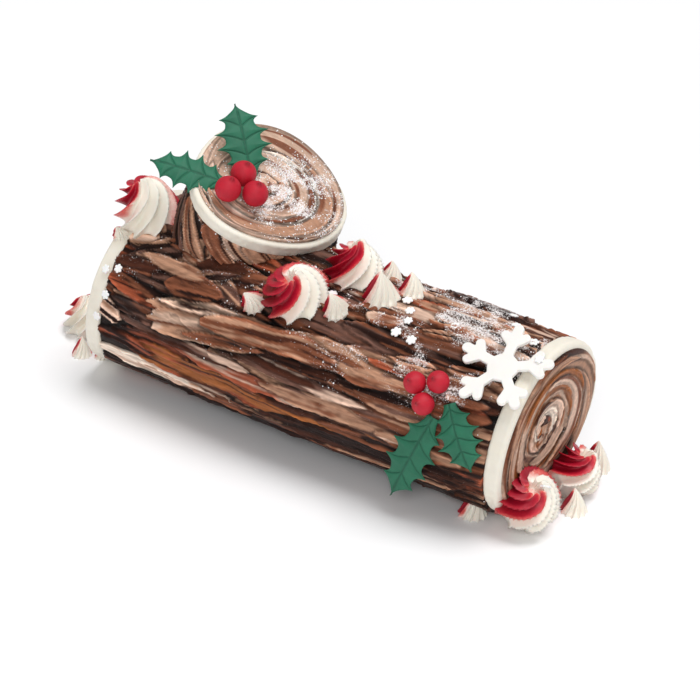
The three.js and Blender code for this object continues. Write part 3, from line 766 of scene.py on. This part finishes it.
for name, (seat, normal, radius, height, skirt) in ROSETTES.items():
    piped(name, seat, normal, radius, height, ribs=9, wind=2.6, depth=0.5, levels=84, power=(1.7, 0.8),
          skirt=skirt, white_share=0.4, hollow=0.3, white_to=LEFT_ENDS.get(name, WHITE_TO),
          sharp=DULL if name in LEFT_ENDS else KEEN)
for name, (seat, normal, radius, height, skirt) in KISSES.items():
    piped(name, seat, normal, radius, height, ribs=12, wind=0.8, depth=0.36, levels=40, power=(1.15, 0.85),
          skirt=skirt, white_share=0.5, hollow=0)

# %% [markdown]
# ## Fondant: berries, holly and a snowflake
# Fondant is rolled or pinched sugar dough: matt, dense and evenly coloured, with soft edges. The
# berries are rolled balls pinched to a point, the leaves are cut and pressed in a veined mould,
# and the snowflake is cut from a thin white sheet.

# %% Fondant
def fondant(name, light, dark, grain, pressed=None):
    """Matt sugar dough with a faint change of tone. grain in mm is the size of its unevenness, and
    pressed is the colour of the painted shade laid in a leaf's vein grooves and on a berry's pinched point."""
    material, tree, shader = new_material(name)
    place = object_place(tree)
    tone = blend(tree, speckle(tree, place, grain, 3.0), rgba(dark), rgba(light))
    if pressed:
        # Painted shade: the dough darkens towards the pressed colour by the amount this attribute holds.
        vein = add(tree, "ShaderNodeAttribute", attribute_name="PaintedShade")
        tone = blend(tree, vein.outputs["Fac"], tone, rgba(pressed))
    feed(tree, shader, {
        "Base Color": tone, "Normal": bumped(tree, speckle(tree, place, 0.7, 2.0), 0.25, 0.1),
        "Roughness": 0.6, "IOR": 1.45, "Subsurface Weight": 0.08, "Subsurface Scale": 1 * MM})
    return material


red_fondant = fondant("fondant_rolled_red", "#cc1630", "#ab0d26", 4, pressed="#5f0714")
green_fondant = fondant("fondant_pressed_green", "#26795a", "#155a42", 9, pressed="#0c3d2d")
white_fondant = fondant("fondant_cut_white", "#f7f5f1", "#ece9e4", 12)

# %% Berries
TOP_BERRY, FRONT_BERRY = 7.9, 6.5


def on_stump(across, uphill, lift):
    return STUMP_CENTRE + across * stump_across + uphill * stump_uphill + lift * stump_axis


def above_log(x, degrees, lift):
    angle = np.array(math.radians(degrees))
    return log_point(x, angle) + lift * log_normal(x, angle)


def berry(name, centre, normal, radius):
    """A rolled ball pinched to a small point."""
    east = unit(np.cross(normal, [0, 1, 0.3]))
    north = np.cross(normal, east)
    tilt, angle = round_grid(np.radians(np.linspace(-87, 87, 36)), 48)
    dent = 1 + 0.012 * (noise(angle * 2, tilt * 2 + 5, int(radius * 7 + abs(centre[0]))) - 0.5)
    flat = radius * np.cos(tilt) * dent
    point = 1.9 * np.exp(-(flat / (0.17 * radius)) ** 1.5) + 0.7 * np.exp(-(flat / (0.4 * radius)) ** 2)
    dimple = 0.3 * np.exp(-((flat - 0.25 * radius) / 0.7) ** 2)
    rise = radius * np.sin(tilt) + point * (tilt > 0) - dimple * (tilt > 0)
    rows = (centre + np.multiply.outer(flat * np.cos(angle), east) + np.multiply.outer(flat * np.sin(angle), north)
            + np.multiply.outer(rise, normal))
    ball = skin(name + "_fondant", rows, red_fondant)
    # The pinched point is darkened with the pressed colour: painted shade.
    paint(ball, "PaintedShade", 0.7 * np.exp(-(flat / (0.2 * radius)) ** 2) * (tilt > 0))
    stands_for(ball, "red_fondant", name)


for number, (across, uphill) in enumerate(((-20.5, 6.5), (-37, -0.5), (-22.5, -9.5)), 1):
    berry(f"berry_top_{number}", on_stump(across, uphill, TOP_BERRY + 1.4), stump_axis, TOP_BERRY)
for number, (x, degrees) in enumerate(((88, 145.4), (101, 141.2), (97, 154)), 1):
    berry(f"berry_front_{number}", above_log(x, degrees, FRONT_BERRY + 1),
          log_normal(x, np.array(math.radians(degrees))), FRONT_BERRY)

# %% Holly leaves
SPINES, THICK, FOLD = 5, 1.6, 1.4


def leaf_half_width(fraction, width):
    """Half the width of a holly leaf: curved bays between sharp spines."""
    body = np.sin(math.pi * np.minimum(1, fraction * 0.93 + 0.05)) ** 0.75
    bay = np.abs((fraction * SPINES) % 1 - 0.5) * 2
    point = 1 - 0.9 * smooth(fraction, 0.84, 1)
    return np.maximum(0.4, width / 2 * body * (0.6 + 0.4 * bay ** 3) * point)


def leaf(name, base, tip, facing, width, arch):
    """A leaf from base to tip: folded along its midrib, arched, with grooves pressed for its veins."""
    along = tip - base
    length = np.linalg.norm(along)
    along = along / length
    side = unit(np.cross(facing, along))
    up = np.cross(along, side)
    stations = np.linspace(0.004, 1, 161)
    lanes = np.linspace(-1, 1, 49)
    fraction, lane = np.meshgrid(stations, lanes, indexing="ij")
    reach = np.where(fraction == 1, 0.4, leaf_half_width(fraction, width))
    spread = np.abs(lane) * reach
    veins = np.exp(-(spread / 0.7) ** 2)
    for k in range(1, SPINES):
        root = k / SPINES - 0.13
        line = root + 0.13 * np.abs(lane)
        veins = np.maximum(veins, 0.85 * np.exp(-((fraction - line) * length / 0.55) ** 2) * (np.abs(lane) < 0.93))
    puff = 0.35 * np.abs(np.sin(math.pi * (fraction - 0.13 * np.abs(lane) + 0.13) * SPINES)) * (1 - lane ** 4)
    edge = np.sqrt(np.clip(1 - np.abs(lane) ** 10, 0, 1))
    middle = base + fraction[..., None] * length * along + (arch * np.sin(math.pi * fraction))[..., None] * up
    flat = middle + (lane * reach)[..., None] * side
    fold = -FOLD * np.abs(lane) ** 1.3
    top = flat + (fold + edge * (THICK / 2 - 0.35 + puff - 0.7 * veins))[..., None] * up
    under = flat + (fold - edge * THICK / 2)[..., None] * up
    rows = np.concatenate([top[:, ::-1], under[:, 1:-1]], axis=1)
    made = skin(name + "_fondant", rows, green_fondant)
    # The vein grooves are darkened with the pressed colour: painted shade.
    paint(made, "PaintedShade", 0.45 * np.concatenate([veins[:, ::-1], np.zeros_like(veins[:, 1:-1])], axis=1))
    stands_for(made, "green_fondant", name)


leaf("leaf_top_upright", on_stump(-12, 7, 3), np.array([-99.5, 23.5, 183.5]), (0.75, -0.55, 0.4), 37, 2)
leaf("leaf_top_side", on_stump(-31, 7.5, 3.2), np.array([-121, -32, 159.5]), (0.25, -0.45, 0.86), 31, 1)
leaf("leaf_front_left", above_log(103, 160, 3.4), np.array([80.5, -62, 14]), (0.1, -1, 0.1), 31, 2.5)
leaf("leaf_front_right", above_log(109.5, 150, 3.4), above_log(132, 184, 3.6), (0.1, -0.95, 0.3), 31, 3)

# %% Snowflake
# Round-ended bars are joined by a remesh and smoothed, which softens every edge like cut dough.
ARMS, REACH, BAR, HUB, PRONG, PRONG_AT, SHEET = 5, 29.0, 3.1, 9.0, 11.0, 15.5, 2.6
FIRST_ARM, FORK = math.radians(98), math.radians(48)


def slab_of(work, outline):
    """Adds a flat slab with that outline to the mesh being built."""
    bottom = [work.verts.new((x * MM, y * MM, 0)) for x, y in outline]
    top = [work.verts.new((x * MM, y * MM, SHEET * MM)) for x, y in outline]
    work.faces.new(bottom[::-1])
    work.faces.new(top)
    for k in range(len(outline)):
        j = (k + 1) % len(outline)
        work.faces.new((bottom[k], bottom[j], top[j], top[k]))


def round_bar(start, heading, length, half_width):
    """The outline of a bar with a round far end."""
    cap = [heading + a for a in np.linspace(-math.pi / 2, math.pi / 2, 13)]
    run = length - half_width
    end = (start[0] + run * math.cos(heading), start[1] + run * math.sin(heading))
    near = [(start[0] + half_width * math.cos(heading + s), start[1] + half_width * math.sin(heading + s))
            for s in (math.pi / 2, -math.pi / 2)]
    return [(end[0] + half_width * math.cos(a), end[1] + half_width * math.sin(a)) for a in cap] + near


work = bmesh.new()
slab_of(work, [(HUB * math.cos(a), HUB * math.sin(a)) for a in np.linspace(0, TURN, 20, endpoint=False)])
for k in range(ARMS):
    heading = FIRST_ARM + k * TURN / ARMS
    slab_of(work, round_bar((0, 0), heading, REACH, BAR))
    fork = (PRONG_AT * math.cos(heading), PRONG_AT * math.sin(heading))
    for turn in (-FORK, FORK):
        slab_of(work, round_bar(fork, heading + turn, PRONG, BAR * 0.9))
mesh = bpy.data.meshes.new("snowflake_bars")
work.to_mesh(mesh)
work.free()
bars = put("snowflake_bars", mesh)
joined = bars.modifiers.new("join", "REMESH")
joined.mode, joined.voxel_size = "VOXEL", 0.42 * MM
soft = bars.modifiers.new("soft", "SMOOTH")
soft.factor, soft.iterations = 0.5, 7
FLAKE_X, FLAKE_DEGREES = 129.5, 121.5
flake_normal = Vector(log_normal(FLAKE_X, np.array(math.radians(FLAKE_DEGREES))))
flake_turn = Vector((0, 0, 1)).rotation_difference(flake_normal).to_matrix().to_4x4()
flake_place = Matrix.Translation(Vector(above_log(FLAKE_X, FLAKE_DEGREES, 2.4)) * MM) @ flake_turn
mesh = as_mesh(bars)
mesh.name = "snowflake_fondant"
mesh.transform(flake_place)
mesh.shade_smooth()
mesh.materials.clear()
mesh.materials.append(white_fondant)
stands_for(put("snowflake_fondant", mesh), "white_fondant", "snowflake")

# %% [markdown]
# ## Sprinkles and powdered sugar
# Small sugar flakes lie where they were dropped, so they are points with a direction each, and
# Geometry Nodes put one flake on every point. Powdered sugar is scattered the same way over the
# surfaces, thickest where the coat says that it settles.

# %% A tree that puts a copy on each point
def scatter_tree(name, material, density):
    """Copies a shape onto points, or over a surface when density is given, as one plain mesh."""
    tree = bpy.data.node_groups.new(name, "GeometryNodeTree")
    sockets = {"Geometry": "Geometry", "Shape": "Object", "Smallest": "Float", "Largest": "Float"}
    for socket, kind in sockets.items():
        tree.interface.new_socket(socket, in_out="INPUT", socket_type="NodeSocket" + kind)
    tree.interface.new_socket("Geometry", in_out="OUTPUT", socket_type="NodeSocketGeometry")
    source = add(tree, "NodeGroupInput")
    shape = add(tree, "GeometryNodeObjectInfo", {"Object": source.outputs["Shape"]})
    if density:
        amount = add(tree, "GeometryNodeInputNamedAttribute", {"Name": "Sugar"}, data_type="FLOAT")
        sharper = add(tree, "ShaderNodeMath", {0: amount.outputs["Attribute"], 1: 1.6}, operation="POWER")
        thick = add(tree, "ShaderNodeMath", {0: sharper.outputs["Value"], 1: density}, operation="MULTIPLY")
        points = add(tree, "GeometryNodeDistributePointsOnFaces",
                     {"Mesh": source.outputs["Geometry"], "Density": thick.outputs["Value"], "Seed": 4})
        spots, turn = points.outputs["Points"], points.outputs["Rotation"]
    else:
        normal = add(tree, "GeometryNodeInputNamedAttribute", {"Name": "Up"}, data_type="FLOAT_VECTOR")
        aligned = add(tree, "FunctionNodeAlignRotationToVector", {"Vector": normal.outputs["Attribute"]}, axis="Z")
        spots, turn = source.outputs["Geometry"], aligned.outputs["Rotation"]
    spin = add(tree, "FunctionNodeRandomValue", {2: 0.0, 3: TURN, "Seed": 8}, data_type="FLOAT")
    about = add(tree, "FunctionNodeAxisAngleToRotation", {"Axis": (0, 0, 1), "Angle": spin.outputs[1]})
    turned = add(tree, "FunctionNodeRotateRotation", {"Rotation": turn, "Rotate By": about.outputs["Rotation"]},
                 rotation_space="LOCAL")
    size = add(tree, "FunctionNodeRandomValue", {2: source.outputs["Smallest"], 3: source.outputs["Largest"],
                                                 "Seed": 9}, data_type="FLOAT")
    copies = add(tree, "GeometryNodeInstanceOnPoints", {
        "Points": spots, "Instance": shape.outputs["Geometry"], "Rotation": turned.outputs["Rotation"],
        "Scale": size.outputs[1]})
    real = add(tree, "GeometryNodeRealizeInstances", {"Geometry": copies.outputs["Instances"]})
    coated = add(tree, "GeometryNodeSetMaterial", {"Geometry": real.outputs["Geometry"], "Material": material})
    add(tree, "NodeGroupOutput", {"Geometry": coated.outputs["Geometry"]})
    return tree


def grown_from(host_mesh, tree, shape, smallest, largest):
    """Runs the tree on a mesh and returns what it makes as a plain mesh."""
    host = put("host", host_mesh)
    modifier = host.modifiers.new("scatter", "NODES")
    modifier.node_group = tree
    values = {"Shape": shape, "Smallest": smallest, "Largest": largest}
    for item in tree.interface.items_tree:
        if item.in_out == "INPUT" and item.name in values:
            modifier[item.identifier] = values[item.name]
    bpy.context.view_layer.update()
    return as_mesh(host)


# %% Small sugar flakes
flake_sugar = fondant("pressed_sugar_flakes", "#ffffff", "#f3f1ef", 3)
LOBES, FLAKE_RADIUS, FLAKE_SHEET = 6, 3.0, 1.0
outline = []
for a in np.linspace(0, TURN, LOBES * 6, endpoint=False):
    r = FLAKE_RADIUS * (0.68 + 0.32 * abs(math.cos(LOBES * a / 2)) ** 0.7)
    outline.append((r * math.cos(a), r * math.sin(a)))
rings = [[(x * k, y * k, z) for x, y in outline]
         for k, z in ((0.9, 0), (1, 0.35), (0.97, 0.75), (0.85, FLAKE_SHEET), (0.45, FLAKE_SHEET * 0.9))]
one_flake = skin("one_flake", np.array(rings), flake_sugar)
ON_LOG = [(58.5, 105), (62, 112), (60, 121.5), (71, 123), (88, 104), (106, 70), (115.5, 84), (133, 95),
          (-140, 149), (-131.5, 146), (-134, 163), (-137, 178), (-141, 112), (52, 98)]
flake_points, flake_ups = [], []
for x, degrees in ON_LOG:
    flake_points.append(Vector(above_log(x, degrees, 0.7)) * MM)
    flake_ups.append(Vector(log_normal(x, np.array(math.radians(degrees)))))
# These fell on the piped stars, so they are dropped from above onto whatever lies there.
bpy.context.view_layer.update()
graph = bpy.context.evaluated_depsgraph_get()
for x, y in ((147, -19.5), (161.5, -26.5), (-10, -16), (10, -24)):
    _, place, normal, *_ = bpy.context.scene.ray_cast(graph, Vector((x, y, 300)) * MM, Vector((0, 0, -1)))
    flake_points.append(place + normal * 0.2 * MM)
    flake_ups.append(normal)
carrier = bpy.data.meshes.new("flake_places")
carrier.from_pydata(flake_points, [], [])
up = carrier.attributes.new("Up", "FLOAT_VECTOR", "POINT")
up.data.foreach_set("vector", np.array(flake_ups, dtype=np.float32).ravel())
flakes_mesh = grown_from(carrier, scatter_tree("flakes_on_points", flake_sugar, 0), one_flake, 0.95, 1.15)
flakes_mesh.shade_smooth()
sugar_flakes = put("sugar_flakes", flakes_mesh)
bpy.data.objects.remove(one_flake)
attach(sugar_flakes, "root")
print("sugar flakes:", len(flake_points), "with", len(flakes_mesh.polygons), "faces")

# %% Powdered sugar
powder = fondant("powdered_sugar", "#ffffff", "#f4f2f3", 2)
grain_mesh = bpy.data.meshes.new("one_grain")
work = bmesh.new()
bmesh.ops.create_icosphere(work, subdivisions=1, radius=0.5 * MM)
for vertex in work.verts:
    vertex.co.z *= 0.7
work.to_mesh(grain_mesh)
work.free()
one_grain = put("one_grain", grain_mesh)
work = bmesh.new()
for host, density in ((log_bark, 260000), (stump_face, 1300000), (stump_bark, 150000)):
    grains = grown_from(host.data, scatter_tree("powder_over_" + host.name, powder, density), one_grain, 0.45, 1.2)
    work.from_mesh(grains)
    print("grains on", host.name, len(grains.polygons) // 20)
powder_mesh = bpy.data.meshes.new("powdered_sugar")
work.to_mesh(powder_mesh)
work.free()
powder_mesh.materials.append(powder)
powdered = put("powdered_sugar", powder_mesh)
bpy.data.objects.remove(one_grain)
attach(powdered, "root")
print("powdered sugar faces:", len(powder_mesh.polygons))

# %% [markdown]
# ## Floor, light and camera
# A plain pale floor and soft studio light: a very broad source from above, and a round lamp in
# front, so that the dark low side of the log still reads.

# %% Floor
floor_material, tree, shader = new_material("matt_white_table")
faint = add(tree, "ShaderNodeTexNoise", {"Vector": object_place(tree), "Scale": 3.0})
tone = blend(tree, faint.outputs["Fac"], rgba("#f9f9fa"), rgba("#fbfbfc"))
feed(tree, shader, {"Base Color": tone, "Roughness": 0.85})
FAR = 6000
floor = add_mesh("table_top", [(-FAR, -FAR, 0), (FAR, -FAR, 0), (FAR, FAR, 0), (-FAR, FAR, 0)],
                 [(0, 1, 2, 3)], floor_material)

# %% Light
scene = bpy.context.scene
scene.view_settings.view_transform = "Standard"
world = bpy.data.worlds.new("studio")
scene.world = world
world.use_nodes = True
world.node_tree.nodes["Background"].inputs["Color"].default_value = (1, 1, 1, 1)
world.node_tree.nodes["Background"].inputs["Strength"].default_value = 0.4


def lamp(name, place, aim, size, power):
    data = bpy.data.lights.new(name, "AREA")
    data.shape, data.size, data.energy = "DISK", size, power
    made = put(name, data)
    made.location = place
    made.rotation_euler = (Vector(aim) - Vector(place)).to_track_quat("-Z", "Y").to_euler()


lamp("front", (0.7, -1.4, 1.1), (0, 0, 0.06), 0.8, 8)
sky = bpy.data.lights.new("over", "SUN")
sky.energy, sky.angle = 2.0, math.radians(35)
put("over", sky).rotation_euler = Vector((-0.22, -0.12, -1)).to_track_quat("-Z", "Y").to_euler()

# %% Camera
eye = Vector((571.3, -836.7, 621.4)) * MM
right, up = Vector((0.8191, 0.5728, 0.0309)), Vector((-0.3017, 0.3845, 0.8724))
back = Vector((0.4878, -0.7240, 0.4877))
camera_data = bpy.data.cameras.new("camera")
camera_data.sensor_width, camera_data.lens = 36.0, 97.69
camera = put("camera", camera_data)
camera.matrix_world = Matrix.Translation(eye) @ Matrix((right, up, back)).transposed().to_4x4()
scene.camera = camera
